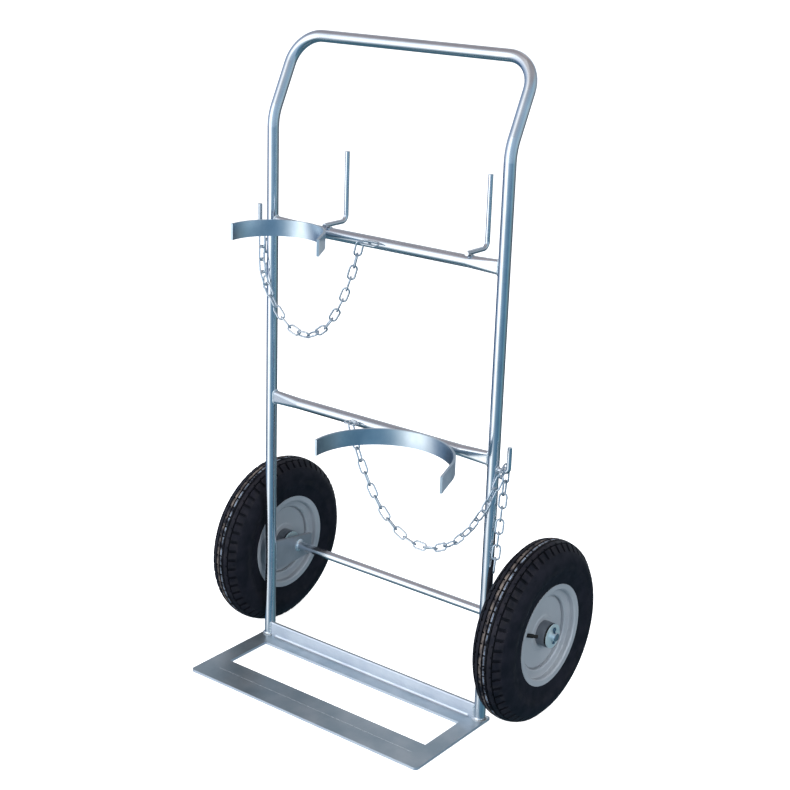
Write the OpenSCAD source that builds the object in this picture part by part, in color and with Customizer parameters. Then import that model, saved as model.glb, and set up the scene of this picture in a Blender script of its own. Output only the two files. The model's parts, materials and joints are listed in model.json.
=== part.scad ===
// Gas cylinder trolley for one tall and one short cylinder.
// Bent tube frame with two crossbars, a flat toe frame, two cylinder rings with safety chains,
// two hose hooks, and two pneumatic wheels on a fixed through axle.
// Origin: centre of the footprint on the floor. +X to the right, +Y to the rear, +Z up. Millimetres.

/* [Frame tube] */
// Outside diameter of the bent frame tube and of the crossbars
tube_d = 25; // [22:0.5:30]
// Wall of the frame tube and of the crossbars
tube_wall = 2; // [1.5:0.1:3]
// Distance between the axes of the two uprights
frame_w = 600; // [560:5:700]
// Height of the virtual corner where the uprights lean back
lean_z = 1218; // [1150:1:1300]
// Lean of the handle, in degrees
lean_deg = 26; // [15:1:35]
// Length of the lean, up to the axis of the handle bar
lean_l = 184; // [160:1:240]
// Centre-line radius of the bend into the lean
lean_r = 100; // [60:1:140]
// Centre-line radius of the handle's corners
corner_r = 65; // [45:1:90]

/* [Crossbars] */
// Height of the upper crossbar's axis
upper_z = 990; // [900:5:1050]
// Height of the lower crossbar's axis
lower_z = 595; // [540:5:680]
// Length over which each end of a crossbar is flattened
flat_l = 72; // [40:1:110]
// Height of a flattened end
flat_h = 32; // [28:0.5:36]
// Depth of a flattened end
flat_t = 13; // [9:0.5:18]

/* [Toe frame] */
// Thickness of the toe frame's bars
toe_t = 6; // [4:0.5:10]
// Distance that the toe frame stands out past the uprights' axes at each side
toe_past = 16; // [13:1:60]
// Distance from the uprights' axes in to the inner edges of the side bars
toe_bar_in = 24; // [18:1:40]
// Distance from the uprights' axes to the front edge
toe_reach = 247; // [220:1:320]
// Distance from the uprights' axes to the rear ends of the side bars
toe_back = 18; // [14:1:30]
// Width of the front bar
toe_bar_w = 40; // [30:1:50]
// Width of the nose bar in front of the front bar
nose_w = 45; // [30:1:60]
// Corner radius of the nose bar
nose_r = 9; // [4:0.5:20]
// Corner radius of the side bars' rear ends
rear_r = 4; // [2:0.5:10]
// Leg length of the rear angle
angle_leg = 40; // [30:1:50]
// Distance from the uprights' axes forward to the back of the rear angle
angle_front = 3; // [0:0.5:8]
// Inside root radius of the rear angle
angle_root_r = 6; // [3:0.5:8]
// Toe radius of the rear angle's legs
angle_toe_r = 3; // [1:0.5:4]

/* [Axle] */
// Axle diameter
axle_d = 20; // [16:0.5:25]
// Distance from the uprights' axes back to the axle
axle_back = 96; // [85:1:130]
// Length of axle that stands out past each outer washer
axle_out = 9; // [7:0.5:16]
// Chamfer on the axle's ends
axle_chamfer = 1.5; // [0.5:0.1:3]
// Thickness of the axle brackets
bracket_t = 8; // [5:0.5:12]
// Height of an axle bracket at the upright
bracket_h = 74; // [60:1:100]
// Height of an axle bracket at its rear end
bracket_end_h = 49; // [40:1:70]
// Length of an axle bracket past the axle
bracket_past = 44; // [30:1:60]
// Height of a bracket's mid-line at its rear end, below the axle
bracket_drop = 8; // [0:1:15]

/* [Wheels] */
// Outside diameter of the tyre
tyre_d = 400; // [360:2:440]
// Width of the tyre
tyre_w = 90; // [84:1:110]
// Width of the tread
tread_w = 48; // [46:1:56]
// Radius of the tread's crown
crown_r = 50; // [45:1:80]
// Width of a groove in the tread
groove_w = 3; // [2:0.5:4]
// Depth of a groove in the tread
groove_depth = 4; // [2:0.5:5]
// Distance of the inner grooves from the tread's middle
inner_groove_at = 10; // [6:0.5:12]
// Distance of the outer grooves from the tread's middle
outer_groove_at = 21; // [18:0.5:21]
// Lugs round each shoulder of the tyre
lugs = 54; // [36:1:60]
// Gap between two lugs
lug_gap = 3; // [2:0.5:5]
// Height of the lugs from the sidewall to the tread's middle
lug_h = 17; // [12:1:22]
// Thickness of the tyre's sidewall
sidewall = 6; // [4:0.5:9]
// Wall of the inner tube
inner_tube_wall = 2.5; // [1.5:0.5:4]
// Distance from an upright's axis out to the middle of its wheel
wheel_out = 65; // [62:1:140]
// Height of the tyre above the rim's flange
section_h = 88; // [84:0.5:92]
// Width of the rim over its flanges
rim_w = 78; // [74:1:84]
// Height of the rim's flange above its bead seat
flange_h = 11; // [9:0.5:14]
// Depth of the rim's well below its bead seat
well_h = 17; // [13:1:25]
// Width of the rim's well
well_w = 42; // [36:1:48]
// Sheet thickness of the rim and the wheel discs
rim_t = 2.5; // [1.5:0.1:4]
// Distance of each disc from the middle of the wheel
disc_at = 18; // [10:0.5:20]
// Diameter of the hub tube
hub_d = 54; // [52:1:64]
// Length of the hub tube
hub_l = 76; // [64:1:84]
// Bore of the hub tube between its bearings
hub_bore = 42; // [36:1:45]
// Outside diameter of a wheel bearing
bearing_d = 47; // [46:1:49]
// Width of a wheel bearing inside the hub
bearing_w = 14; // [10:1:18]
// Length by which a bearing's seal stands out of the hub
seal_out = 4; // [2:0.5:6]
// Diameter of that seal
seal_d = 49; // [44:1:51]
// Diameter of the valve stem
valve_d = 9; // [7:0.5:11]
// Length of the valve stem outside the rim
valve_l = 30; // [20:1:36]
// Turn of the valve stem from the axle's direction towards the hub, in degrees
valve_deg = 56; // [40:1:65]
// Turn of the valve about the axle, up from the front of the wheel, in degrees
valve_turn = 18; // [0:1:90]
// Diameter of the axle washers
washer_d = 52; // [40:1:56]
// Thickness of the axle washers
washer_t = 3; // [2:0.5:5]
// Diameter of a split pin's shank
pin_d = 4; // [3:0.5:5]

/* [Cylinder rings] */
// Height of the rings' flat bar
ring_h = 35; // [25:1:50]
// Thickness of the rings' flat bar
ring_t = 5; // [4:0.5:8]
// Inside radius of the upper ring
upper_ring_r = 101; // [90:1:110]
// Distance from the left upright's axis in to the middle of the upper ring
upper_ring_in = 110; // [106:1:130]
// Inside radius of the lower ring
lower_ring_r = 146; // [130:1:155]
// Distance from the right upright's axis in to the middle of the lower ring
lower_ring_in = 163; // [155:1:175]
// Arc that each ring runs past the half circle at its left end, in degrees
ring_past_deg = 10; // [0:1:12]
// Arc short of the half circle at which the upper ring's right arm runs on straight, in degrees
upper_arm_deg = 30; // [10:1:35]
// Arc short of the half circle at which the lower ring's right arm runs on straight, in degrees
lower_arm_deg = 20; // [10:1:35]
// Length of the upper ring's straight arm
upper_arm_l = 66; // [40:1:90]
// Length of the lower ring's straight arm
lower_arm_l = 76; // [40:1:100]

/* [Hooks] */
// Diameter of the hook rods
rod_d = 10; // [8:0.5:10]
// Distance from the left upright's axis in to the left hose hook
left_hose_hook_in = 155; // [90:1:220]
// Distance from the right upright's axis in to the right hose hook
right_hose_hook_in = 82; // [75:1:220]
// Distance from the upper crossbar's axis back to a hose hook's upright leg
hose_hook_back = 60; // [45:1:90]
// Length of a hose hook's foot in front of the crossbar's axis
hose_hook_front = 12; // [8:1:13]
// Height of a hose hook's top above the crossbar's axis
hose_hook_h = 165; // [120:1:200]
// Centre-line radius of the hose hooks' bends
hose_hook_r = 14; // [10:1:20]
// Distance from an upright's axis out to a chain hook's pin
chain_hook_out = 37; // [36:0.5:44]
// Depth of a chain hook's leg below the crossbar's axis
chain_hook_drop = 18; // [16:1:26]
// Height of a chain hook's pin above its leg
chain_hook_h = 53; // [40:1:80]
// Centre-line radius of the chain hooks' bends
chain_hook_r = 9; // [8:0.5:12]

/* [Chains] */
// Wire diameter of the chain links
link_d = 4; // [3.5:0.1:4.2]
// Outside width of a link
link_w = 19; // [18.6:0.1:21]
// Pitch of the chain
link_pitch = 27.5; // [26:0.5:32]
// Slack between two links
link_gap = 0.4; // [0.3:0.05:0.6]
// Distance from the left upright's axis in to the upper chain's anchor link
upper_anchor_in = 270; // [255:1:300]
// Distance from the right upright's axis in to the lower chain's anchor link
lower_anchor_in = 352; // [330:1:370]
// Sag of the upper chain below its ends
upper_sag = 205; // [120:5:230]
// Sag of the lower chain below its ends
lower_sag = 212; // [120:5:230]
// Links in the spare end that hangs from the upper hook
upper_tail_links = 4; // [2:1:6]
// Links in the spare end that hangs from the lower hook
lower_tail_links = 7; // [2:1:7]
// Forward lean of the lower spare end where the tyre doesn't push it further, in degrees
lower_tail_lean = 7; // [6:0.5:20]
// Turn of the chains' links about their length, away from the ends of the chain, in degrees
link_turn = 30; // [0:1:33]
// Tilt of the link that lies over a chain hook, in degrees
hooked_tilt = 42; // [35:1:48]

/* [Fits] */
// Radial clearance of the wheel bearings on the axle
running = 0.05; // [0.02:0.01:0.09]
// Gap between pieces that turn past each other
turn_gap = 0.5; // [0.3:0.1:1]
// Gap round a loose piece that lies against its seat
seat_gap = 0.3; // [0.1:0.05:0.5]

/* [Hidden] */
$fn = 64;

zinc = "lightsteelblue";
rim_grey = "darkgray";
black = "dimgray";

tube_r = tube_d / 2;
upright_x = frame_w / 2;
axle_z = tyre_d / 2;
// The footprint runs from the toe frame's front edge to the back of the tyres.
upright_y = (toe_reach - axle_back - tyre_d / 2) / 2;
lean_tangent = lean_r * tan(lean_deg / 2);
// Half the length of the short sleeve that joins the bend to the straight lean, just proud of the tube.
lean_joint = 0.4;
lean_from = lean_tangent + lean_joint / 4;
toe_w = frame_w + 2 * toe_past;
toe_inner_x = upright_x - toe_bar_in;
front_bar_y = -toe_reach + nose_w;
weld_leg = 5;
// The tyre's shoulder is at least this much lower than its tread where a spare end passes it.
tail_shoulder = 8;

wheel_x = upright_x + wheel_out;
hub_end = hub_l / 2;
washer_at = hub_end + seal_out + turn_gap;
pin_at = washer_at + washer_t + seat_gap + pin_d / 2;
axle_end = wheel_x + washer_at + washer_t + axle_out;
bearing_r = axle_d / 2 + running;
flange_r = tyre_d / 2 - section_h;
bead_r = flange_r - flange_h;
well_r = bead_r - well_h;

// Sizes of one chain link, and the distance from its middle to the wire at its end.
link_bow = (link_w - link_d) / 2;
link_straight = link_pitch + link_gap + 2 * link_d - link_w;
link_seat = (link_d + link_gap) / 2;
link_reach = link_pitch / 2 + link_seat;

// A chain seen from its own side: its hook is on the right when side is 1.
anchor_y = -tube_r - link_d / 2 - seat_gap / 2;
anchor_front_y = anchor_y - 2 * link_bow;
hooked_x = upright_x + tube_r + (chain_hook_out - tube_r - chain_hook_r) / 2 + link_d;
hooked_along = [cos(hooked_tilt), sin(hooked_tilt)];
hooked_end = link_pitch / 2 * hooked_along;
// A link's wire lies this far inside the bow of its neighbour.
wire_in = link_bow - 2 * link_seat;
// Wire of the spare end's first link, in the rear bow of the link on the hook.
hanging_wire = link_straight / 2 * hooked_along + wire_in * [cos(18), -sin(18)];
// End of the chain, in the front bow of the link on the hook.
loop_end = -link_straight / 2 * hooked_along - wire_in * [cos(75), sin(75)] - link_seat * [0.22, 0.94];
// The chain passes in front of the upright here, clear of it by a link's half width.
pass_x = upright_x + 8;
pass_y = -tube_r - link_w / 2 - 3.5;

function sum(v, i = 0) = i < len(v) ? v[i] + sum(v, i + 1) : 0;

// A hanging chain of n equal links: each link points along the pull in it, which has the same level
// part all along and a weight that grows by one link at a time from the lowest point, low.
function pull(level, low, k) = [level, k - low] / norm([level, k - low]);
function chain_rise(n, level, low) = link_pitch * sum([for (k = [0 : n - 1]) pull(level, low, k)[1]]);
function chain_span(n, level, low) = link_pitch * sum([for (k = [0 : n - 1]) pull(level, low, k)[0]]);
function find_low(n, level, rise, a, b, steps) =
    let (mid = (a + b) / 2)
    steps == 0 ? mid
    : chain_rise(n, level, mid) > rise ? find_low(n, level, rise, mid, b, steps - 1)
    : find_low(n, level, rise, a, mid, steps - 1);
function find_level(n, span, rise, a, b, steps) =
    let (mid = (a + b) / 2)
    steps == 0 ? mid
    : chain_span(n, mid, find_low(n, mid, rise, -n, 2 * n, 40)) < span
        ? find_level(n, span, rise, mid, b, steps - 1)
    : find_level(n, span, rise, a, mid, steps - 1);
// Joints of the hanging chain as [distance along the plan, height], from its first joint.
function hang(n, span, rise) =
    let (level = find_level(n, span, rise, 0.01, 200, 40), low = find_low(n, level, rise, -n, 2 * n, 40))
    [for (i = [0 : n]) i == 0 ? [0, 0] : link_pitch * [
        sum([for (k = [0 : i - 1]) pull(level, low, k)[0]]),
        sum([for (k = [0 : i - 1]) pull(level, low, k)[1]])
    ]];

// Plan of a chain: from its anchor, past the front of the upright, to the link on its hook.
function plan_start(anchor_x) = [anchor_x + link_bow / 2, anchor_front_y];
plan_pass = [pass_x, pass_y];
plan_end = [hooked_x, loop_end[0]];
function plan_length(anchor_x) = norm(plan_pass - plan_start(anchor_x)) + norm(plan_end - plan_pass);
function along(a, b, d) = a + (b - a) * d / norm(b - a);
function plan_point(anchor_x, d) =
    let (first = norm(plan_pass - plan_start(anchor_x)))
    d < first ? along(plan_start(anchor_x), plan_pass, d) : along(plan_pass, plan_end, d - first);
// An even count of links that hangs about as low as asked.
function loop_links(anchor_x, sag) =
    2 * round(sqrt(pow(plan_length(anchor_x), 2) + 16 / 3 * pow(sag, 2)) / (2 * link_pitch));
// Joints of a chain from its anchor to its hook, with its hook on the right.
function loop_joints(anchor_x, bar_z, sag) =
    let (
        top = bar_z + link_seat,
        foot = bar_z - chain_hook_drop + loop_end[1],
        h = hang(loop_links(anchor_x, sag), plan_length(anchor_x), foot - top)
    )
    [for (p = h) let (q = plan_point(anchor_x, p[0])) [q[0], q[1], top + p[1]]];

function unit(v) = v / norm(v);
function hook_z(bar_z) = bar_z - chain_hook_drop;
// Middle of the lower bow of the first hanging link, on which the spare end swings.
function tail_pivot(bar_z) =
    [hooked_x, hanging_wire[0], hook_z(bar_z) + hanging_wire[1] - 2 * link_reach];
// Lean at which the end of a spare end clears the tyre's shoulder, or the least lean if that is more.
function tail_lean(bar_z, links, least) =
    let (
        pivot = tail_pivot(bar_z),
        reach = links * link_pitch,
        to_axle = [axle_back - pivot[1], pivot[2] - axle_z],
        far = norm(to_axle),
        clear_r = tyre_d / 2 - tail_shoulder,
        turn = acos(min(1, (reach * reach + far * far - clear_r * clear_r) / (2 * reach * far)))
    )
    max(least, turn - atan2(to_axle[0], to_axle[1]));
lower_lean = tail_lean(lower_z, lower_tail_links, lower_tail_lean);

module at_frame() translate([0, upright_y, 0]) children();
module on_side(side) mirror([side < 0 ? 1 : 0, 0, 0]) children();
module at_axle() translate([0, axle_back, axle_z]) children();
module at_wheel(side) at_frame() on_side(side) translate([wheel_x, 0, 0]) at_axle() children();
// Turns a shape made about Z so that it lies about X, with its top outwards.
module about_x() rotate([0, 90, 0]) children();

// A run and a bend of a section that starts at the origin, heads up, and bends towards +Y.
module run(length) linear_extrude(length) children();
module bend(radius, degrees)
    translate([0, radius, 0]) rotate([90, 0, -90])
        rotate_extrude(angle = degrees) translate([radius, 0]) children();

module tube_section() difference() {
    circle(d = tube_d);
    circle(d = tube_d - 2 * tube_wall);
}
module rod_section() circle(d = rod_d, $fn = 32);
module upright_core(d) cylinder(d = d, h = lean_z);

// Frame tube
module upright() translate([upright_x, 0, 0]) {
    translate([0, 0, toe_t]) run(lean_z - lean_tangent - toe_t) tube_section();
    translate([0, 0, lean_z - lean_tangent]) bend(lean_r, lean_deg) tube_section();
}
module handle_side() translate([upright_x, 0, 0]) {
    translate([0, 0, lean_from]) run(lean_l - corner_r - lean_from) tube_section();
    translate([0, 0, lean_l - corner_r]) rotate([0, 0, 90]) bend(corner_r, 90) tube_section();
    translate([0, 0, lean_tangent - lean_joint]) run(2 * lean_joint) difference() {
        circle(d = tube_d + lean_joint / 10);
        circle(d = tube_d - 2 * tube_wall - lean_joint / 10);
    }
}
module frame_tube() color(zinc) at_frame() {
    for (side = [-1, 1]) on_side(side) upright();
    translate([0, 0, lean_z]) rotate([-lean_deg, 0, 0]) {
        for (side = [-1, 1]) on_side(side) handle_side();
        translate([corner_r - upright_x, 0, lean_l]) about_x() run(frame_w - 2 * corner_r) tube_section();
    }
}

// Crossbars: round in the middle, pressed to a tall oval at the ends and notched round the uprights
module oval(h, t) {
    square([h - t, t], center = true);
    for (end = [-1, 1]) translate([end * (h - t) / 2, 0]) circle(d = t, $fn = 24);
}
module bar_form(inset, past) {
    half = upright_x - tube_r - flat_l;
    step = 0.3;
    translate([-half - past, 0, 0]) about_x() cylinder(d = tube_d - 2 * inset, h = 2 * (half + past));
    for (side = [-1, 1]) on_side(side) hull() {
        translate([half, 0, 0]) about_x() linear_extrude(0.01)
            circle(d = tube_d - 2 * inset - step, $fn = 32);
        translate([half + flat_l + tube_r, 0, 0]) about_x() linear_extrude(0.01)
            oval(flat_h - 2 * inset, flat_t - 2 * inset);
    }
}
module crossbar(z) color(zinc) at_frame() translate([0, 0, z]) difference() {
    bar_form(0, 0);
    bar_form(tube_wall, 0.5);
    for (side = [-1, 1]) translate([side * upright_x, 0, -flat_h]) cylinder(d = tube_d, h = 2 * flat_h);
}

// Toe frame
module angle_section() difference() {
    union() {
        square([angle_leg, toe_t]);
        square([toe_t, angle_leg]);
        translate([toe_t, toe_t]) difference() {
            square(angle_root_r);
            translate([angle_root_r, angle_root_r]) circle(angle_root_r);
        }
    }
    translate([toe_t - angle_toe_r, angle_leg - angle_toe_r]) difference() {
        square(angle_toe_r + 1);
        circle(angle_toe_r);
    }
}
module angle_run(half) translate([half, -angle_front, 0]) rotate([90, 0, -90]) linear_extrude(2 * half)
    angle_section();
module toe_angle() color(zinc) at_frame() difference() {
    union() {
        angle_run(toe_inner_x);
        intersection() {
            angle_run(upright_x);
            translate([-upright_x, -angle_front - toe_t, toe_t]) cube([frame_w, toe_t, angle_leg]);
        }
    }
    for (side = [-1, 1]) translate([side * upright_x, 0, 0]) upright_core(tube_d);
}
module round_corner(r) translate([-r, -r]) difference() {
    square(r + 1);
    circle(r);
}
module toe_side_bar(side) color(zinc) at_frame() on_side(side) linear_extrude(toe_t) difference() {
    translate([toe_inner_x, front_bar_y]) square([toe_w / 2 - toe_inner_x, toe_back - front_bar_y]);
    translate([toe_w / 2, toe_back]) round_corner(rear_r);
}
module toe_front_bar() color(zinc) at_frame() linear_extrude(toe_t)
    translate([-toe_inner_x, front_bar_y]) square([2 * toe_inner_x, toe_bar_w]);
module toe_nose_bar() color(zinc) at_frame() linear_extrude(toe_t) difference() {
    translate([-toe_w / 2, -toe_reach]) square([toe_w, nose_w]);
    for (side = [-1, 1]) mirror([side < 0 ? 1 : 0, 0]) mirror([0, 1])
        translate([toe_w / 2, toe_reach]) round_corner(nose_r);
}

// Fillet weld round a rod or tube that stands on a plate
module weld_ring(r, leg) rotate_extrude() translate([r, 0]) difference() {
    square(leg);
    translate([leg * 1.25, leg * 1.25]) circle(leg * 1.06, $fn = 32);
}
module foot_welds() color(zinc) at_frame() for (side = [-1, 1]) on_side(side) difference() {
    translate([upright_x, 0, toe_t]) weld_ring(tube_r, weld_leg);
    angle_run(upright_x);
    translate([toe_inner_x - frame_w, -tube_d, 0]) cube([frame_w, 2 * tube_d, 2 * tube_d]);
}

// Axle and what carries it
module axle() color(zinc) at_frame() at_axle() difference() {
    about_x() rotate_extrude() polygon([
        [0, -axle_end], [axle_d / 2 - axle_chamfer, -axle_end], [axle_d / 2, axle_chamfer - axle_end],
        [axle_d / 2, axle_end - axle_chamfer], [axle_d / 2 - axle_chamfer, axle_end], [0, axle_end]
    ]);
    for (side = [-1, 1]) translate([side * (wheel_x + pin_at), 0, 0])
        cylinder(d = pin_d + 2 * seat_gap, h = 2 * axle_d, center = true, $fn = 24);
}
module bracket_outline() polygon([
    [0, axle_z - bracket_h / 2], [axle_back + bracket_past, axle_z - bracket_drop - bracket_end_h / 2],
    [axle_back + bracket_past, axle_z - bracket_drop + bracket_end_h / 2], [0, axle_z + bracket_h / 2]
]);
module axle_bracket(side) color(zinc) at_frame() on_side(side) difference() {
    translate([upright_x - bracket_t / 2, 0, 0]) rotate([90, 0, 90]) linear_extrude(bracket_t)
        bracket_outline();
    translate([upright_x, 0, 0]) upright_core(tube_d);
    translate([0, 0, axle_z - bracket_h]) mirror([0, 1, 0]) cube([frame_w, tube_d, 2 * bracket_h]);
    at_axle() about_x() cylinder(d = axle_d, h = axle_end);
}
module axle_welds() color(zinc) at_frame() at_axle() for (side = [-1, 1]) on_side(side)
    translate([upright_x - bracket_t / 2, 0, 0]) rotate([0, -90, 0]) weld_ring(axle_d / 2, weld_leg);
module spacer(side) color(zinc) at_frame() on_side(side) at_axle() {
    from = upright_x + bracket_t / 2;
    translate([from, 0, 0]) about_x() linear_extrude(wheel_x - washer_at - washer_t - from) difference() {
        circle(d = axle_d + 10);
        circle(d = axle_d);
    }
}

// Cylinder rings
module ring(x, z, r, arm_deg, arm_l) color(zinc) at_frame()
    translate([x, -tube_r - seat_gap / 2 - ring_t - r, z]) rotate([0, 0, arm_deg]) {
        rotate_extrude(angle = 180 - arm_deg + ring_past_deg, $fn = 128)
            translate([r, -ring_h / 2]) square([ring_t, ring_h]);
        translate([r, -arm_l, -ring_h / 2]) cube([ring_t, arm_l, ring_h]);
    }

// Hooks
module hose_hook(x) color(zinc) at_frame()
    translate([x, -hose_hook_front, upper_z + tube_r + seat_gap / 2 + rod_d / 2]) {
        foot = hose_hook_front + hose_hook_back - hose_hook_r;
        rotate([-90, 0, 0]) run(foot) rod_section();
        translate([0, foot, 0]) rotate([-90, 0, 0]) rotate([0, 0, 180]) bend(hose_hook_r, 90) rod_section();
        translate([0, foot + hose_hook_r, hose_hook_r])
            run(hose_hook_h - tube_r - seat_gap / 2 - rod_d / 2 - hose_hook_r) rod_section();
    }
module chain_hook(side, bar_z) color(zinc) at_frame() on_side(side) difference() {
    translate([upright_x, 0, hook_z(bar_z)]) {
        leg = chain_hook_out - chain_hook_r;
        about_x() run(leg) rod_section();
        translate([leg, 0, 0]) about_x() rotate([0, 0, 90]) bend(chain_hook_r, 90) rod_section();
        translate([chain_hook_out, 0, chain_hook_r]) run(chain_hook_h - chain_hook_r) rod_section();
    }
    translate([upright_x, 0, 0]) upright_core(tube_d);
}

// Chains
module link() for (end = [0, 180]) rotate([0, 0, end]) {
    translate([0, link_straight / 2, 0]) rotate_extrude(angle = 180) translate([link_bow, 0])
        circle(d = link_d, $fn = 24);
    translate([link_bow, -link_straight / 2, 0]) rotate([-90, 0, 0])
        cylinder(d = link_d, h = link_straight, $fn = 24);
}
// A link from joint a to joint b, turned by roll about its length from the plane that holds +Y
module link_between(a, b, roll) {
    t = unit(b - a);
    side_y = unit([0, 1, 0] - t * t[1]);
    side_x = cross(t, side_y);
    u = side_y * cos(roll) + side_x * sin(roll);
    w = cross(u, t);
    m = (a + b) / 2;
    multmatrix([
        [u[0], t[0], w[0], m[0]],
        [u[1], t[1], w[1], m[1]],
        [u[2], t[2], w[2], m[2]],
        [0, 0, 0, 1]
    ]) link();
}
module chain_anchor(side, anchor_x, bar_z) color(zinc) at_frame() on_side(side)
    translate([anchor_x, anchor_y - link_bow, bar_z]) rotate([0, 0, 90]) link();
// The link over the hook's leg, and the link that hangs from its rear end
module hooked_links(side, bar_z) color(zinc) at_frame() on_side(side) {
    middle = [hooked_x, 0, hook_z(bar_z)];
    rear = [0, hooked_end[0], hooked_end[1]];
    hang_from = middle + [0, hanging_wire[0], hanging_wire[1] - link_seat];
    link_between(middle - rear, middle + rear, 0);
    link_between(hang_from, hang_from - [0, 0, link_pitch], 90);
}
// Every other link is a quarter turn on, and all turn a little more with each step from a chain's end.
function link_roll(side, k, steps) = 90 * (k % 2) - side * link_turn * min(1, steps);
module chain(side, anchor_x, bar_z, sag) color(zinc) at_frame() on_side(side) {
    joints = loop_joints(anchor_x, bar_z, sag);
    last = len(joints) - 2;
    for (k = [0 : last])
        link_between(joints[k], joints[k + 1], link_roll(side, k, min(k / 4, (last - k) / 3)));
}
module chain_tail(side, bar_z, links, lean) color(zinc) at_frame() on_side(side) {
    down = [0, -sin(lean), -cos(lean)];
    step = link_pitch * down;
    start = tail_pivot(bar_z) - link_seat * down;
    for (k = [0 : links - 1])
        link_between(start + k * step, start + (k + 1) * step, link_roll(side, k, (k + 1) / 3));
}

// Wheels, each in the plane of its section: distance from the axle, then distance from its middle
module mirrored() for (k = [0, 1]) mirror([0, k]) children();
rim_bead_x = rim_w / 2 - 5;
rim_tyre_side = [
    [well_r, well_w / 2 - 1], [well_r + 1, well_w / 2], [bead_r - 1.5, well_w / 2 + 1],
    [bead_r, well_w / 2 + 2.5], [bead_r, rim_bead_x], [bead_r + 1.5, rim_bead_x + 1.6],
    [flange_r - 4, rim_bead_x + 2], [flange_r - 1.2, rim_bead_x + 2.8], [flange_r, rim_bead_x + 4]
];
rim_air_side = [
    [flange_r, rim_w / 2], [flange_r - 1.8, rim_w / 2], [flange_r - 4.2, rim_bead_x + 4.6],
    [bead_r + 0.4, rim_bead_x + 4.2], [bead_r - rim_t, rim_bead_x + 1.4], [bead_r - rim_t, well_w / 2 + 4.8],
    [bead_r - rim_t - 1.5, well_w / 2 + 3.4], [well_r - rim_t + 3, well_w / 2 + 2.4],
    [well_r - rim_t, well_w / 2]
];
function flip(v) = [for (i = [len(v) - 1 : -1 : 0]) [v[i][0], -v[i][1]]];
module rim_section()
    polygon(concat(rim_tyre_side, rim_air_side, flip(rim_air_side), flip(rim_tyre_side)));
tube_centre = tyre_d / 2 - tyre_w / 2 - 2;
function crown_at(across) = tyre_d / 2 - crown_r + sqrt(crown_r * crown_r - across * across);
// The shoulder runs straight from the edge of the tread into the round sidewall, by this much at its foot.
shoulder_sink = 0.3;
tread_edge = [crown_at(tread_w / 2), tread_w / 2];
edge_from_centre = tread_edge - [tube_centre, 0];
edge_deg = atan2(edge_from_centre[1], edge_from_centre[0]);
shoulder_in_r = tyre_w / 2 - shoulder_sink;
shoulder_deg = edge_deg + acos(min(1, shoulder_in_r / norm(edge_from_centre)));
shoulder_foot = [tube_centre, 0] + shoulder_in_r * [cos(shoulder_deg), sin(shoulder_deg)];
// Carcass and tread, open between the beads
module carcass() difference() {
    union() {
        translate([tube_centre, 0]) circle(d = tyre_w, $fn = 96);
        intersection() {
            translate([tyre_d / 2 - crown_r, 0]) circle(r = crown_r, $fn = 128);
            translate([tube_centre, -tread_w / 2]) square([tyre_w, tread_w]);
        }
        mirrored() polygon([
            [tube_centre, -1], [tread_edge[0] - 1, -1], [tread_edge[0] - 1, tread_w / 2 - 1],
            tread_edge, shoulder_foot
        ]);
    }
    translate([tube_centre, 0]) circle(d = tyre_w - 2 * sidewall, $fn = 96);
    translate([0, -rim_w / 2]) square([tube_centre - tyre_w / 4, rim_w]);
}
// A bead starts this far below the middle of the section, and its inner face keeps clear of the inner tube.
bead_start = 12;
bead_inside = sqrt(pow(tyre_w / 2 - sidewall + seat_gap, 2) - bead_start * bead_start);
bead_top_r = tube_centre - bead_start;
module bead() polygon([
    [bead_r, well_w / 2 + 3], [bead_r, rim_bead_x], [bead_r + 1.5, rim_bead_x + 1.6],
    [flange_r - 4, rim_bead_x + 2], [flange_r - 1.2, rim_bead_x + 2.8], [flange_r, rim_bead_x + 4],
    [bead_top_r, tyre_w / 2 - 3], [bead_top_r, bead_inside],
    [flange_r, bead_inside - (bead_top_r - flange_r) * bead_start / bead_inside]
]);
// Cuts between the shoulder's lugs, from just above the floor of the outer groove down onto the sidewall
lug_from_r = crown_at(outer_groove_at) - groove_depth + 0.4;
lug_end_r = tyre_d / 2 - lug_h;
lug_end_x = sqrt(pow(tyre_w / 2 - groove_depth, 2) - pow(lug_end_r - tube_centre, 2));
module lug_gap_section() polygon([
    [lug_from_r, outer_groove_at], [tyre_d / 2 + 1, outer_groove_at], [tyre_d / 2 + 1, tyre_w],
    [lug_end_r, tyre_w], [lug_end_r, lug_end_x]
]);
module lug_gaps() for (k = [0 : lugs - 1]) rotate([90, 0, 360 / lugs * k])
    linear_extrude(lug_gap, center = true) lug_gap_section();
module tyre(side) color(black) at_wheel(side) about_x() {
    difference() {
        rotate_extrude($fn = 180) difference() {
            carcass();
            for (g = [-outer_groove_at, -inner_groove_at, 0, inner_groove_at, outer_groove_at])
                translate([crown_at(g) - groove_depth, g - groove_w / 2])
                    square([2 * groove_depth, groove_w]);
        }
        for (face = [0, 1]) mirror([0, 0, face]) lug_gaps();
    }
    for (face = [0, 1]) mirror([0, 0, face]) rotate_extrude($fn = 180) bead();
}
module inner_tube(side) color(black) at_wheel(side) about_x() rotate_extrude($fn = 180)
    translate([tube_centre, 0]) difference() {
        circle(d = tyre_w - 2 * sidewall - 2 * seat_gap, $fn = 96);
        circle(d = tyre_w - 2 * sidewall - 2 * seat_gap - 2 * inner_tube_wall, $fn = 96);
    }
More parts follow.
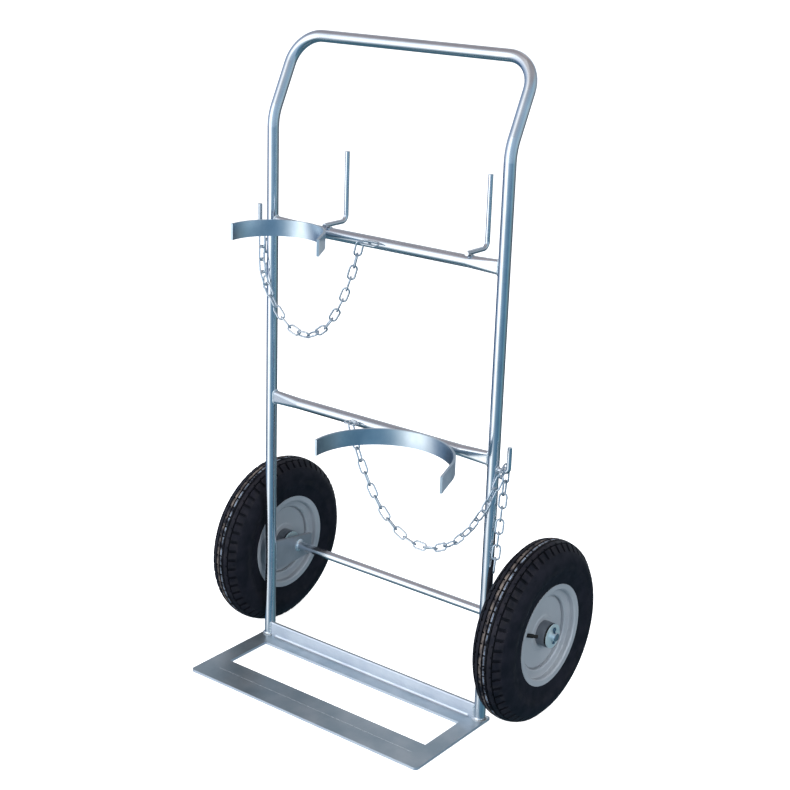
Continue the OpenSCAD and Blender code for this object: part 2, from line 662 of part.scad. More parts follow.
// Line of the valve stem, from the corner of the rim's well out towards the hub
module along_valve() rotate([0, 0, -valve_turn]) translate([0, -well_r - 1, well_w / 2 - 1])
    rotate([-valve_deg, 0, 0]) children();
module rim(side) color(rim_grey) at_wheel(side) about_x() difference() {
    rotate_extrude($fn = 180) rim_section();
    along_valve() cylinder(d = valve_d + 2 * seat_gap, h = 30, center = true);
}
module valve(side) color(black) at_wheel(side) about_x() along_valve() {
    translate([0, 0, -6]) cylinder(d = valve_d, h = valve_l);
    translate([0, 0, valve_l - 6]) cylinder(d1 = valve_d, d2 = valve_d - 1.5, h = 1);
    translate([0, 0, valve_l - 5]) cylinder(d = valve_d - 1.5, h = 9);
}
disc_edge = well_r - rim_t - seat_gap;
module disc(side, face) color(rim_grey) at_wheel(side) about_x() mirror([0, 0, face < 0 ? 1 : 0])
    difference() {
        rotate_extrude($fn = 128) polygon([
            [hub_d / 2, disc_at - rim_t], [hub_d / 2 + 9, disc_at - rim_t],
            [hub_d / 2 + 13, disc_at - rim_t - 2],
            [disc_edge - 7, disc_at - rim_t - 2], [disc_edge - rim_t, disc_at - rim_t - 5],
            [disc_edge - rim_t, disc_at - 14], [disc_edge, disc_at - 14], [disc_edge, disc_at - 4],
            [disc_edge - 4, disc_at - 1.5], [hub_d / 2 + 13, disc_at - 1.5], [hub_d / 2 + 9, disc_at],
            [hub_d / 2, disc_at]
        ]);
        along_valve() cylinder(d = valve_d + 4 * seat_gap, h = 30, center = true);
    }
module hub(side) color(rim_grey) at_wheel(side) about_x() difference() {
    cylinder(d = hub_d, h = hub_l, center = true);
    cylinder(d = hub_bore, h = 2 * hub_l, center = true);
    for (face = [-1, 1]) translate([0, 0, face * hub_end])
        cylinder(d = bearing_d, h = 2 * bearing_w, center = true);
}
// Sealed bearings: a ring in the hub, with a seal that stands out of the hub's end
module bearings(side) color(black) at_wheel(side) about_x() for (face = [0, 1]) mirror([0, 0, face])
    rotate_extrude() polygon([
        [bearing_r, hub_end - bearing_w], [bearing_d / 2, hub_end - bearing_w], [bearing_d / 2, hub_end],
        [seal_d / 2, hub_end], [seal_d / 2, hub_end + seal_out - 1], [seal_d / 2 - 1, hub_end + seal_out],
        [bearing_r, hub_end + seal_out]
    ]);
module washers(side) color(zinc) at_wheel(side) about_x() for (face = [0, 1]) mirror([0, 0, face])
    translate([0, 0, washer_at]) linear_extrude(washer_t) difference() {
        circle(d = washer_d);
        circle(d = axle_d);
    }
// Split pin: shank through the axle, eye above it, two legs turned apart below it
module split_pin(side) color(zinc) at_wheel(side) translate([pin_at, 0, 0]) {
    half = axle_d / 2 + 2;
    eye_r = pin_d * 0.95;
    translate([0, 0, -half]) cylinder(d = pin_d, h = 2 * half, $fn = 24);
    translate([0, 0, half + eye_r]) about_x() rotate_extrude() translate([eye_r, 0])
        circle(d = pin_d * 0.7, $fn = 24);
    for (turn = [0, 180]) translate([0, 0, -half]) rotate([180, 0, turn])
        bend(pin_d, 70) circle(d = pin_d * 0.8, $fn = 24);
}

frame_tube();
crossbar(upper_z);  // upper_crossbar
crossbar(lower_z);  // lower_crossbar
toe_angle();
toe_side_bar(-1);  // toe_left_bar
toe_side_bar(1);  // toe_right_bar
toe_front_bar();
toe_nose_bar();
foot_welds();
axle();
axle_bracket(-1);  // left_axle_bracket
axle_bracket(1);  // right_axle_bracket
axle_welds();
spacer(-1);  // left_spacer
spacer(1);  // right_spacer
ring(upper_ring_in - upright_x, upper_z, upper_ring_r, upper_arm_deg, upper_arm_l);  // upper_ring
ring(upright_x - lower_ring_in, lower_z, lower_ring_r, lower_arm_deg, lower_arm_l);  // lower_ring
hose_hook(left_hose_hook_in - upright_x);  // left_hose_hook
hose_hook(upright_x - right_hose_hook_in);  // right_hose_hook
chain_hook(-1, upper_z);  // upper_chain_hook
chain_hook(1, lower_z);  // lower_chain_hook
chain_anchor(-1, upright_x - upper_anchor_in, upper_z);  // upper_chain_anchor
chain_anchor(1, upright_x - lower_anchor_in, lower_z);  // lower_chain_anchor
hooked_links(-1, upper_z);  // upper_hooked_links
hooked_links(1, lower_z);  // lower_hooked_links
chain(-1, upright_x - upper_anchor_in, upper_z, upper_sag);  // upper_chain
chain(1, upright_x - lower_anchor_in, lower_z, lower_sag);  // lower_chain
chain_tail(-1, upper_z, upper_tail_links, 0);  // upper_chain_tail
chain_tail(1, lower_z, lower_tail_links, lower_lean);  // lower_chain_tail
tyre(-1);  // left_tyre
tyre(1);  // right_tyre
inner_tube(-1);  // left_inner_tube
inner_tube(1);  // right_inner_tube
rim(-1);  // left_rim
rim(1);  // right_rim
disc(-1, 1);  // left_outer_disc
disc(1, 1);  // right_outer_disc
disc(-1, -1);  // left_inner_disc
disc(1, -1);  // right_inner_disc
hub(-1);  // left_hub
hub(1);  // right_hub
bearings(-1);  // left_bearings
bearings(1);  // right_bearings
valve(-1);  // left_valve
valve(1);  // right_valve
washers(-1);  // left_washers
washers(1);  // right_washers
split_pin(-1);  // left_split_pin
split_pin(1);  // right_split_pin
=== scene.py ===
import json
import math

import bpy
import numpy as np
from mathutils import Matrix, Vector


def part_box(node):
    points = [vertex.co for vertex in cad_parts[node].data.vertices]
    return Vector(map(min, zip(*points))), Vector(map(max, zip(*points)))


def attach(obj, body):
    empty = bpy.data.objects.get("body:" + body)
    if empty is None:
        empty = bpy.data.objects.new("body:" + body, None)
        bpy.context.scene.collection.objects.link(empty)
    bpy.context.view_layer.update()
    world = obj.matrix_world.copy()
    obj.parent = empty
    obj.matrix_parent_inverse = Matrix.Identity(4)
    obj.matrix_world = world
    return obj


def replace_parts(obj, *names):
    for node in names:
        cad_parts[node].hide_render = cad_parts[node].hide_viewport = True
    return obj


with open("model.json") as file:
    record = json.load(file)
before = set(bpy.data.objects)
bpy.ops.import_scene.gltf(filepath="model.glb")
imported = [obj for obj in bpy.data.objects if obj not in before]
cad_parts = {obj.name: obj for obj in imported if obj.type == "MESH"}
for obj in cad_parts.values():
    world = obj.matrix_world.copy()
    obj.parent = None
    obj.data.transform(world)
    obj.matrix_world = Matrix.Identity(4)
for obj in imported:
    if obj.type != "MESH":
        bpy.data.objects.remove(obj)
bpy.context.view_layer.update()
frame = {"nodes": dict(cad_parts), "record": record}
nodes = frame["nodes"]

MM = 0.001


# Materials

GRAIN_STRENGTH = 0.4
RUBBER_SPECULAR = 0.13
PAINT_RELIEF = 0.00002
# Painted shade laid in the tyre's grooves, notches and lug gaps.
CUT_SHADE_BLACK = (0.0015, 0.002, 0.003)


def material(name, metallic, roughness, colour):
    """A new material with one Principled shader, and the tree and shader to add to."""
    made = bpy.data.materials.new(name)
    made.use_nodes = True
    shader = made.node_tree.nodes["Principled BSDF"]
    shader.inputs["Metallic"].default_value = metallic
    shader.inputs["Roughness"].default_value = roughness
    shader.inputs["Base Color"].default_value = (*colour, 1)
    return made, made.node_tree, shader


def noise(tree, scale, detail):
    """A noise over the row frame, in steps of 1 / scale metres."""
    place = tree.nodes.new("ShaderNodeTexCoord")
    texture = tree.nodes.new("ShaderNodeTexNoise")
    texture.inputs["Scale"].default_value = scale
    texture.inputs["Detail"].default_value = detail
    tree.links.new(place.outputs["Object"], texture.inputs["Vector"])
    return texture.outputs["Fac"]


def ramp(tree, factor, first, second, low=0.35, high=0.65):
    """A colour that goes from the first to the second as a factor goes from low to high."""
    node = tree.nodes.new("ShaderNodeValToRGB")
    for stop, position, colour in zip(node.color_ramp.elements, (low, high), (first, second)):
        stop.position = position
        stop.color = (*colour, 1)
    tree.links.new(factor, node.inputs["Fac"])
    return node.outputs["Color"]


def ramp_colour(tree, shader, factor, dark, light):
    tree.links.new(ramp(tree, factor, dark, light), shader.inputs["Base Color"])


def between(tree, value, low, high, bottom=0.0, top=1.0):
    """A number from bottom to top as a value goes from low to high."""
    span = tree.nodes.new("ShaderNodeMapRange")
    span.inputs["From Min"].default_value = low
    span.inputs["From Max"].default_value = high
    span.inputs["To Min"].default_value = bottom
    span.inputs["To Max"].default_value = top
    tree.links.new(value, span.inputs["Value"])
    return span.outputs["Result"]


def ramp_roughness(tree, shader, factor, smooth, rough):
    gloss = between(tree, factor, low=0.3, high=0.7, bottom=smooth, top=rough)
    tree.links.new(gloss, shader.inputs["Roughness"])


def bump(tree, shader, factor, height):
    node = tree.nodes.new("ShaderNodeBump")
    node.inputs["Strength"].default_value = GRAIN_STRENGTH
    node.inputs["Distance"].default_value = height
    tree.links.new(factor, node.inputs["Height"])
    tree.links.new(node.outputs["Normal"], shader.inputs["Normal"])


def mixed(tree, factor, first, second):
    """A colour from the first to the second by a factor. The second is a socket or a plain colour."""
    mix = tree.nodes.new("ShaderNodeMixRGB")
    tree.links.new(factor, mix.inputs["Fac"])
    tree.links.new(first, mix.inputs["Color1"])
    if isinstance(second, tuple):
        mix.inputs["Color2"].default_value = (*second, 1)
    else:
        tree.links.new(second, mix.inputs["Color2"])
    return mix.outputs["Color"]


def over_colour(tree, shader, factor, colour):
    """Lay a colour, or a socket's colour, over the shader's present one by a factor."""
    base = shader.inputs["Base Color"]
    tree.links.new(mixed(tree, factor, base.links[0].from_socket, colour), base)


def zinc(name, dark, light, rough, grain, relief, metallic=1.0, worn_and_shaded_top=None, cloud=22):
    """Zinc plate on steel: metal with cloudy colour, uneven gloss and a faint grain.

    What faces up is a darker patchwork of the top colours, if there are any: partly wear, as where cylinders
    stand, and partly painted shade against the brighter sides.
    """
    made, tree, shader = material(name, metallic, roughness=0.3, colour=light)
    ramp_colour(tree, shader, noise(tree, scale=cloud, detail=5), dark, light)
    ramp_roughness(tree, shader, noise(tree, scale=70, detail=4), *rough)
    bump(tree, shader, noise(tree, scale=grain, detail=2), relief)
    # Partly wear and partly painted shade: what faces up is darker than the sides.
    if worn_and_shaded_top:
        surface = tree.nodes.new("ShaderNodeNewGeometry")
        split = tree.nodes.new("ShaderNodeSeparateXYZ")
        tree.links.new(surface.outputs["Normal"], split.inputs["Vector"])
        faces_up = between(tree, split.outputs["Z"], low=0.75, high=0.97)
        over_colour(tree, shader, faces_up, ramp(tree, noise(tree, scale=14, detail=6), *worn_and_shaded_top))
    return made


def rubber(name, dark, light, rough, relief, dust_and_sheen=None):
    """Matt rubber. A mesh's attribute gives its share of dust, or on the sidewall of a faint painted sheen;
    below 0 it gives painted shade that blackens a cut.
    """
    made, tree, shader = material(name, metallic=0.0, roughness=0.6, colour=light)
    ramp_colour(tree, shader, noise(tree, scale=40, detail=5), dark, light)
    ramp_roughness(tree, shader, noise(tree, scale=90, detail=3), *rough)
    bump(tree, shader, noise(tree, scale=900, detail=2), relief)
    shader.inputs["Specular IOR Level"].default_value = RUBBER_SPECULAR
    if dust_and_sheen:
        attribute = tree.nodes.new("ShaderNodeAttribute")
        attribute.attribute_name = "dust_sheen_and_cut_shade"
        share = attribute.outputs["Fac"]
        # Pale colour in patches: dust, and on the sidewall a faint ring of it as painted sheen.
        blotches = tree.nodes.new("ShaderNodeMath")
        blotches.operation = "MULTIPLY"
        tree.links.new(share, blotches.inputs[0])
        patchy = between(tree, noise(tree, scale=55, detail=4), low=0.38, high=0.66)
        tree.links.new(patchy, blotches.inputs[1])
        over_colour(tree, shader, blotches.outputs["Value"], ramp(tree, share, *dust_and_sheen, low=0.6, high=0.75))
        # Painted shade: a share below 0 blackens the cuts of the tread.
        over_colour(tree, shader, between(tree, share, low=0, high=-1), CUT_SHADE_BLACK)
    return made


def paint(name, dark, light, rough, metallic=0.0):
    made, tree, shader = material(name, metallic, roughness=0.4, colour=light)
    ramp_colour(tree, shader, noise(tree, scale=18, detail=4), dark, light)
    ramp_roughness(tree, shader, noise(tree, scale=60, detail=3), *rough)
    bump(tree, shader, noise(tree, scale=260, detail=2), PAINT_RELIEF)
    return made


LOOKS = {
    "frame_zinc": (zinc, dict(
        dark=(0.76, 0.79, 0.83), light=(0.86, 0.88, 0.92), rough=(0.13, 0.20), grain=700, relief=0.00003)),
    "ring_zinc": (zinc, dict(
        dark=(0.46, 0.56, 0.65), light=(0.82, 0.89, 0.95), rough=(0.28, 0.36), grain=600, relief=0.00004,
        cloud=9)),
    # The toe plate's top is darker than its sides and edges: partly wear, partly painted shade that leaves
    # the edges as a painted highlight.
    "toe_zinc": (zinc, dict(
        dark=(0.68, 0.73, 0.83), light=(0.78, 0.83, 0.91), rough=(0.30, 0.42), grain=500, relief=0.00006,
        metallic=0.8, worn_and_shaded_top=((0.33, 0.41, 0.47), (0.46, 0.52, 0.57)))),
    "bracket_zinc": (zinc, dict(
        dark=(0.35, 0.37, 0.41), light=(0.43, 0.45, 0.49), rough=(0.42, 0.52), grain=500, relief=0.00006,
        metallic=0.7)),
    "chain_zinc": (zinc, dict(
        dark=(0.58, 0.65, 0.72), light=(0.78, 0.83, 0.88), rough=(0.18, 0.28), grain=900, relief=0.00003,
        metallic=0.95)),
    "fastener_zinc": (zinc, dict(
        dark=(0.62, 0.79, 0.83), light=(0.72, 0.87, 0.90), rough=(0.30, 0.34), grain=900, relief=0.000004,
        metallic=0.6)),
    # Painted shade: a near-black zinc for the split pins and spacers, standing in for the shade round the
    # hubs.
    "pin_painted_shade": (zinc, dict(
        dark=(0.06, 0.13, 0.20), light=(0.12, 0.20, 0.28), rough=(0.26, 0.34), grain=900, relief=0.00001)),
    "weld": (zinc, dict(
        dark=(0.74, 0.82, 0.87), light=(0.93, 0.96, 0.98), rough=(0.22, 0.34), grain=450, relief=0.0002,
        metallic=0.85)),
    "wheel_paint": (paint, dict(
        dark=(0.37, 0.395, 0.43), light=(0.40, 0.425, 0.46), rough=(0.36, 0.37), metallic=0.2)),
    "hub_paint": (paint, dict(
        dark=(0.08, 0.095, 0.115), light=(0.11, 0.125, 0.145), rough=(0.36, 0.375))),
    # The tyre's pale colours are dust, and on the sidewall a faint painted sheen.
    "tyre_rubber": (rubber, dict(
        dark=(0.006, 0.007, 0.011), light=(0.012, 0.012, 0.018), rough=(0.46, 0.60), relief=0.00010,
        dust_and_sheen=((0.38, 0.31, 0.26), (0.25, 0.31, 0.40)))),
    "black_rubber": (rubber, dict(
        dark=(0.010, 0.010, 0.010), light=(0.018, 0.018, 0.018), rough=(0.42, 0.55), relief=0.00006)),
}
MATERIALS = {name: make(name, **look) for name, (make, look) in LOOKS.items()}
# Pieces whose finish differs from the rest of their slot. The spacers and split pins take a near-black zinc
# as painted shade.
FINISH = {
    "left_axle_bracket": "bracket_zinc", "right_axle_bracket": "bracket_zinc",
    "upper_ring": "ring_zinc", "lower_ring": "ring_zinc",
    "left_hub": "hub_paint", "right_hub": "hub_paint",
    "left_split_pin": "pin_painted_shade", "right_split_pin": "pin_painted_shade",
    "left_spacer": "pin_painted_shade", "right_spacer": "pin_painted_shade",
}
for part in frame["record"]["subparts"]:
    mesh = nodes[part["node"]].data
    mesh.materials.clear()
    mesh.materials.append(MATERIALS[FINISH.get(part["node"], part["material_slot"])])


# Small builders

def mesh_object(name, vertices, faces, slot, body):
    """A smooth mesh of the object in a material slot, moving with a body."""
    mesh = bpy.data.meshes.new(name)
    mesh.from_pydata([tuple(v) for v in vertices], [], [tuple(int(i) for i in f) for f in faces])
    mesh.validate()
    mesh.polygons.foreach_set("use_smooth", [True] * len(mesh.polygons))
    made = bpy.data.objects.new(name, mesh)
    bpy.context.scene.collection.objects.link(made)
    mesh.materials.append(MATERIALS[slot])
    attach(made, body)
    return made


def grid_faces(rows, columns, wrap_rows):
    """Quads over a grid of vertices that is stored row by row, with each row closed on itself."""
    faces = []
    for i in range(rows if wrap_rows else rows - 1):
        for j in range(columns):
            a, b = i * columns, (i + 1) % rows * columns
            k = (j + 1) % columns
            faces.append((a + j, a + k, b + k, b + j))
    return faces


# Tyres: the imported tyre's outside with its ribs, notches and shoulder lugs, in millimetres

BLOCKS = 54
TREAD_R = 200
CROWN_R = 50
SIDE_R = 45
INSIDE_R = 39
SIDE_CENTRE = 153
GROOVE_DEPTH = 4.0
NOTCH_DEPTH = 2.5
STEPS_IN_BLOCK = (0.0, 0.09, 0.10, 0.25, 0.26, 0.345, 0.36, 0.64, 0.655, 0.72, 0.73)
# Where the cuts lie in a block, and how far from the middle of the tread they start.
LUG_GAP = (0.35, 0.65)
NOTCH = (0.095, 0.255)
SLOT_END = 0.725
SLOT_FROM = 5.8
BROWN_NOTCH_FROM = 4.5
WIDE_NOTCH_FROM = 17
# The floor between the shoulder lugs, as (across, radius), and how far it runs out and down.
LUG_FLOOR = (22.5, 190.6)
LUG_FLOOR_OUT = 8.0
LUG_FLOOR_DOWN = 9.0
SHARP_EDGE = math.radians(35)
# Share of the pale colour: dust on the tread and the brown rib, pale blue-grey on the white rib, a faint
# painted sheen on the sidewall; below 0 painted shade that blackens a cut. And where they lie.
DUST_SHEEN_AND_CUT_SHADE = {
    "groove": -0.8, "lug gap": -0.6, "notch": -0.45, "white rib": 0.85, "white rib's edge": 0.1,
    "brown rib": 0.5, "brown rib's edge": 0.15, "sidewall": 0.015, "tread": 0.02, "none": 0.0,
}
WHITE_RIB = (2, 5.8)
BROWN_RIB = (1.6, 6.5)
# Where the faint painted sheen ring lies on the sidewall: how far out across, and between which radii.
SHEEN_RING_FROM = 38
SHEEN_RING = (140, 153)
# Rows of half the section: across the tread, then (across, radius), with the floor's share for the lugs.
TREAD_ROWS = (
    ("groove", (0, 1.35)), ("middle", (1.5, 3.0, 4.4, 4.6, 5.7, 5.9, 7.2, 8.5)), ("groove", (8.65, 11.35)),
    ("wide", (11.5, 13, 15, 16.9, 17.1, 18.3, 19.5)), ("groove", (19.65, 22.35)),
)
LUG_TOP_ROWS = ((22.5, 0), (24, 0.15))
LUG_SIDE_ROWS = (
    (26.5, 191.0, 0.35), (29, 188.2, 0.55), (31.5, 185.3, 0.7), (33.9, 182.6, 0.85), (35, 181.3, 1),
)
SIDE_DEGREES = range(37, -24, -5)
FOOT_ROWS = (
    (41.2, 135), (40.2, 128), (39.1, 120), (38.2, 113.5), (37.6, 112), (36.6, 110.6), (35.9, 107),
    (35.5, 103), (34, 101.1), (24.2, 101.1), (28, 112),
)
INSIDE_DEGREES = range(-18, 90, 12)


def crown(across):
    return TREAD_R - CROWN_R + math.sqrt(CROWN_R ** 2 - across * across)


def round_section(radius, degrees):
    """A place on a circle about the middle of the tyre's section, as (across, radius) in millimetres."""
    a = math.radians(degrees)
    return radius * math.cos(a), SIDE_CENTRE + radius * math.sin(a)


def tyre_rows():
    """Rows of half the tyre, from the middle of the tread over the outside and back along the inside.

    Each row has its part of the tyre, its place and its place in a cut, as (across, radius).
    """
    rows = []
    for part, places in TREAD_ROWS:
        for x in places:
            lower = GROOVE_DEPTH if part == "groove" else 0
            rows.append((part, (x, crown(x) - lower), (x, crown(x) - lower - NOTCH_DEPTH)))
    for x, r, share in [(x, crown(x), share) for x, share in LUG_TOP_ROWS] + list(LUG_SIDE_ROWS):
        floor_place = LUG_FLOOR[0] + LUG_FLOOR_OUT * share, LUG_FLOOR[1] - LUG_FLOOR_DOWN * share
        rows.append(("lug", (x, r), floor_place))
    plain = [round_section(SIDE_R, degrees) for degrees in SIDE_DEGREES]
    plain += FOOT_ROWS
    plain += [round_section(INSIDE_R, degrees) for degrees in INSIDE_DEGREES]
    plain.append((0, SIDE_CENTRE + INSIDE_R))
    return rows + [("plain", place, place) for place in plain]


def is_cut(side, part, across, step):
    """Whether the tread is cut away at a place across the tyre and a step through a block."""
    notched = NOTCH[0] < step < NOTCH[1]
    if part == "lug":
        return LUG_GAP[0] < step < LUG_GAP[1]
    if part == "middle" and side > 0:
        return across > SLOT_FROM and step < SLOT_END or notched
    if part == "middle":
        return across > BROWN_NOTCH_FROM and notched
    return part == "wide" and across > WIDE_NOTCH_FROM and notched


def dust_sheen_and_cut_shade(side, part, place, cut):
    """The tone laid on a place of the tyre: dust on the tread, a faint painted sheen on the sidewall, painted
    shade in the cuts. The left one of the middle ribs is brown and the right one white.
    """
    across, radius = place
    if part == "groove":
        return "groove"
    if cut:
        return "lug gap" if part == "lug" else "notch"
    if part == "middle" and side > 0:
        return "white rib" if WHITE_RIB[0] < across < WHITE_RIB[1] else "white rib's edge"
    if part == "middle":
        return "brown rib" if BROWN_RIB[0] < across < BROWN_RIB[1] else "brown rib's edge"
    if part == "plain":
        # Painted sheen: a faint pale ring on the sidewall.
        dust_and_sheen = across > SHEEN_RING_FROM and SHEEN_RING[0] < radius < SHEEN_RING[1]
        return "sidewall" if dust_and_sheen else "none"
    return "tread"


def tyre(name, body, node):
    """A tyre in its node's place: the solid's outline, with notched ribs and wider gaps between the lugs."""
    low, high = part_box(node)
    centre = (low + high) / 2
    half = tyre_rows()
    rows = [(1, *row) for row in half] + [(-1, *row) for row in half[-2:0:-1]]
    columns = [(k, step) for k in range(BLOCKS) for step in STEPS_IN_BLOCK]
    vertices, dust_sheen_and_shade_shares = [], []
    for side, part, top, bottom in rows:
        for k, step in columns:
            cut = is_cut(side, part, top[0], step)
            x, r = bottom if cut else top
            angle = 2 * math.pi * (k + step) / BLOCKS
            vertices.append(centre + MM * Vector((side * x, r * math.cos(angle), r * math.sin(angle))))
            dust_sheen_and_shade_shares.append(DUST_SHEEN_AND_CUT_SHADE[dust_sheen_and_cut_shade(side, part, top, cut)])
    faces = grid_faces(len(rows), len(columns), wrap_rows=True)
    made = mesh_object(name, vertices, faces, "tyre_rubber", body)
    made.data.set_sharp_from_angle(angle=SHARP_EDGE)
    # Per vertex: dust, a faint painted sheen ring on the sidewall, and painted shade in the cuts.
    layer = made.data.attributes.new("dust_sheen_and_cut_shade", "FLOAT", "POINT")
    layer.data.foreach_set("value", dust_sheen_and_shade_shares)
    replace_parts(made, node)


for side in ("left", "right"):
    tyre(f"{side}_tyre_tread", f"{side}_wheel", f"{side}_tyre")


# Weld beads where the frame's pieces meet, in millimetres from the uprights' axes and the floor

UPRIGHT_X = 300
UPRIGHT_Y = -24.5
TUBE_R = 12.5
UPPER_BAR_Z = 990
LOWER_BAR_Z = 595
HOOK_DROP = 18
HOSE_HOOKS_X = (-145, 218)
UPPER_RING_X = -190
LOWER_RING_X = 137
LOWER_ANCHOR_X = -52
UPPER_ANCHOR_SEAT = {"x0": -27, "x1": 1, "y": -13.7, "z": UPPER_BAR_Z + 4.6}
TOE_SEAM = {"x0": -272, "x1": 272, "y": -202, "z": 5.4}
# Half the straight side and the end radius of a crossbar's flattened end, and the weld round a hook's leg.
FLAT_HALF = 9.5
FLAT_R = 6.5
HOOK_LOOP_R = 5.4
# Beads that run up the frame, and the line of a bead over a crossbar.
BRACKET_RUN = {"y": 11.9, "z0": 164, "z1": 236}
BRACKET_BEADS_APART = 4.6
ANGLE_RUN = {"z0": 9, "z1": 39}
ANGLE_BEADS = ((290.6, -9.6), (287.3, -2.6))
HOSE_HOOK_BEADS_APART = 4.4
OVER_BAR_Y = [1 + 0.75 * k for k in range(13)]
OVER_BAR_LIFT = 0.8
BEAD_SIDES = 10
BEAD_STEP = 0.8
FEWEST_STEPS = 8
# Steps by which the first and last ring of an open bead stand in from its point.
BEAD_POINT = 0.3
# Any direction that no bead runs along.
FIRST_NORMAL = Vector((0.31, 0.27, 0.91))
# Length of a bead's ripples, and how much they and a slower wave swell it.
RIPPLE = 2.6
RIPPLE_SWELL = 0.13
WAVE = 0.37
WAVE_SWELL = 0.08


def at_frame(x, y, z):
    """A place in the row frame, in millimetres, from one measured from the uprights' axes and the floor."""
    return Vector((x, y + UPRIGHT_Y, z))


def resampled(points, step):
    """Points along a polyline at about even steps."""
    run = [0.0]
    for a, b in zip(points, points[1:]):
        run.append(run[-1] + (b - a).length)
    count = max(FEWEST_STEPS, round(run[-1] / step))
    out, k = [], 0
    for i in range(count + 1):
        want = run[-1] * i / count
        while k < len(run) - 2 and run[k + 1] < want:
            k += 1
        share = (want - run[k]) / max(run[k + 1] - run[k], 1e-9)
        out.append(points[k].lerp(points[k + 1], share))
    return out


def bead(path, radius, closed=False, rippled=True):
    """Vertices in metres and faces of a weld bead, or of a plain wire, along a path in millimetres."""
    points = resampled(path, BEAD_STEP)
    if closed:
        points = points[:-1]
    count = len(points)
    vertices = []
    normal = FIRST_NORMAL
    for i, point in enumerate(points):
        before, after = points[i - 1], points[(i + 1) % count]
        if not closed:
            before, after = points[max(i - 1, 0)], points[min(i + 1, count - 1)]
        along = (after - before).normalized()
        normal = (normal - along * normal.dot(along)).normalized()
        across = along.cross(normal)
        ripple = end = 1.0
        if rippled:
            ripple += RIPPLE_SWELL * math.sin(2 * math.pi * i * BEAD_STEP / RIPPLE)
            ripple += WAVE_SWELL * math.sin(WAVE * i + point.z)
        if not closed:
            end = math.sqrt(min(1, (min(i, count - 1 - i) + BEAD_POINT) * BEAD_STEP / radius))
        for k in range(BEAD_SIDES):
            angle = 2 * math.pi * k / BEAD_SIDES
            offset = normal * math.cos(angle) + across * math.sin(angle)
            vertices.append(MM * (point + offset * radius * ripple * end))
    faces = grid_faces(count, BEAD_SIDES, wrap_rows=closed)
    if not closed:
        faces.append(tuple(range(BEAD_SIDES)))
        faces.append(tuple(range((count - 1) * BEAD_SIDES, count * BEAD_SIDES))[::-1])
    return vertices, faces


def welds(name, beads):
    """Several beads as one piece on the frame."""
    vertices, faces = [], []
    for one in beads:
        more, more_faces = bead(**one)
        first = len(vertices)
        vertices += more
        faces += [tuple(first + k for k in face) for face in more_faces]
    mesh_object(name, vertices, faces, "weld", "frame")


def turns(count):
    """Angles of a full turn, with the first again at the end."""
    return [2 * math.pi * k / count for k in range(count + 1)]


def flat_end(side, z):
    """Loop round the flattened end of a crossbar, on the face of its upright."""
    loop = []
    for a in turns(count=40):
        y = FLAT_R * math.cos(a)
        rise = math.copysign(FLAT_HALF, math.sin(a)) + FLAT_R * math.sin(a)
        loop.append(at_frame(side * (UPRIGHT_X - math.sqrt(TUBE_R ** 2 - y * y)), y, z + rise))
    return loop


def hook_leg(side, z):
    """Loop round the leg of a chain hook, on the outer face of its upright."""
    loop = []
    for a in turns(count=32):
        y = HOOK_LOOP_R * math.cos(a)
        x = side * (UPRIGHT_X + math.sqrt(TUBE_R ** 2 - y * y))
        loop.append(at_frame(x, y, z + HOOK_LOOP_R * math.sin(a)))
    return loop


def level(x0, x1, y, z):
    return [at_frame(x0, y, z), at_frame(x1, y, z)]


def upright(x, y, z0, z1):
    return [at_frame(x, y, z0), at_frame(x, y, z1)]


def over_bar(x, z):
    """Line over the rear half of a crossbar's top."""
    return [at_frame(x, y, z + OVER_BAR_LIFT + math.sqrt(TUBE_R ** 2 - y * y)) for y in OVER_BAR_Y]


def seat(x, z, half, sink, apart, radius):
    """Beads above and below the place where a piece meets the front of a crossbar."""
    return [
        dict(path=level(x - half, x + half, sink - TUBE_R, z + k * apart), radius=radius) for k in (-1, 1)
    ]


def ring_seat(x, z):
    return seat(x, z, half=17, sink=1.6, apart=8.5, radius=2.6)


welds("crossbar_welds", [
    dict(path=flat_end(side, z), radius=2.2, closed=True)
    for side in (-1, 1) for z in (UPPER_BAR_Z, LOWER_BAR_Z)
])
welds("chain_hook_welds", [
    dict(path=hook_leg(side, z - HOOK_DROP), radius=2.0, closed=True)
    for side, z in ((-1, UPPER_BAR_Z), (1, LOWER_BAR_Z))
])
welds("hose_hook_welds", [
    dict(path=over_bar(x + k * HOSE_HOOK_BEADS_APART, UPPER_BAR_Z), radius=1.8)
    for x in HOSE_HOOKS_X for k in (-1, 1)
])
welds("ring_welds", ring_seat(UPPER_RING_X, UPPER_BAR_Z) + ring_seat(LOWER_RING_X, LOWER_BAR_Z))
welds("anchor_welds", [
    dict(path=level(**UPPER_ANCHOR_SEAT), radius=2.6),
    *seat(LOWER_ANCHOR_X, LOWER_BAR_Z, half=7, sink=-1.2, apart=2.4, radius=2.4),
])
welds("bracket_welds", [
    dict(path=upright(side * (UPRIGHT_X + k * BRACKET_BEADS_APART), **BRACKET_RUN), radius=2.2)
    for side in (-1, 1) for k in (-1, 1)
])
welds("angle_welds", [
    dict(path=upright(side * x, y, **ANGLE_RUN), radius=2.0) for side in (-1, 1) for x, y in ANGLE_BEADS
])
welds("toe_seam", [dict(path=level(**TOE_SEAM), radius=0.8)])


# Upper chain: its links turned as they hang in the photograph, from a longer link that lies on the crossbar

# How far the links turn about their length, in degrees, and over how many links that grows and ends.
TURN_AT_START = 44
TURN_IN_MIDDLE = 90
LINKS_TO_MIDDLE = 4
LINKS_AT_END = 9
